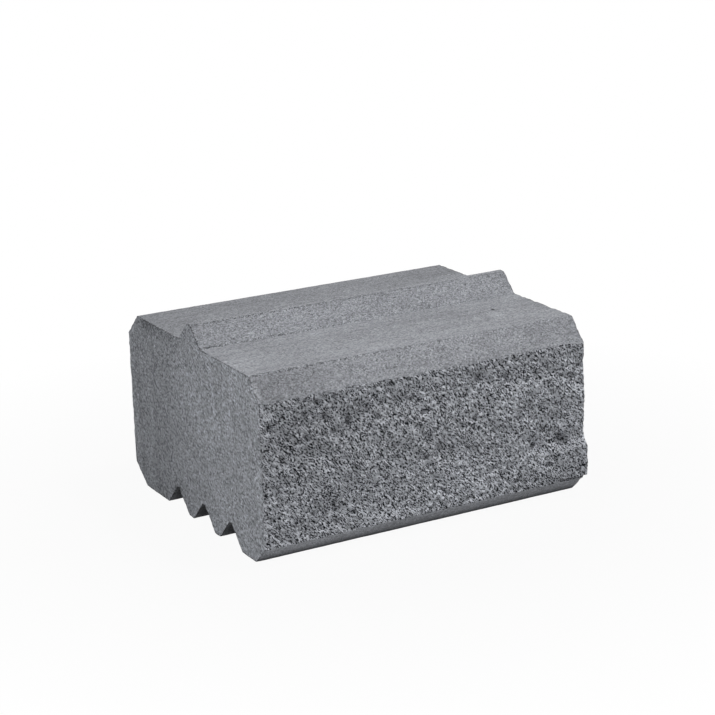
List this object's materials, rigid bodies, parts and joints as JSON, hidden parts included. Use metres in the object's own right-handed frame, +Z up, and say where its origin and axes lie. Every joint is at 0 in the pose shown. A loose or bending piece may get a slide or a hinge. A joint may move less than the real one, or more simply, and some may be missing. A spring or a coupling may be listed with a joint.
{
  "type": "retaining wall block",
  "caption": "Concrete retaining wall block with a rough split front, chamfered long edges, a tongue along the top and V grooves along the bottom.",
  "frame": {"origin": "middle of the block's box on the ground; the box takes in the lump that stands 7.5 mm proud of the split face", "axes": "+X along the wall, to the right seen from the front; +Y from the split front face to the back; +Z up"},
  "size_m": [0.3, 0.2524, 0.1685],
  "materials": {
    "concrete": "matte, fine moulded faces and a coarse split front"
  },
  "bodies": {
    "root": {"block": "concrete"}
  },
  "joints": []
}
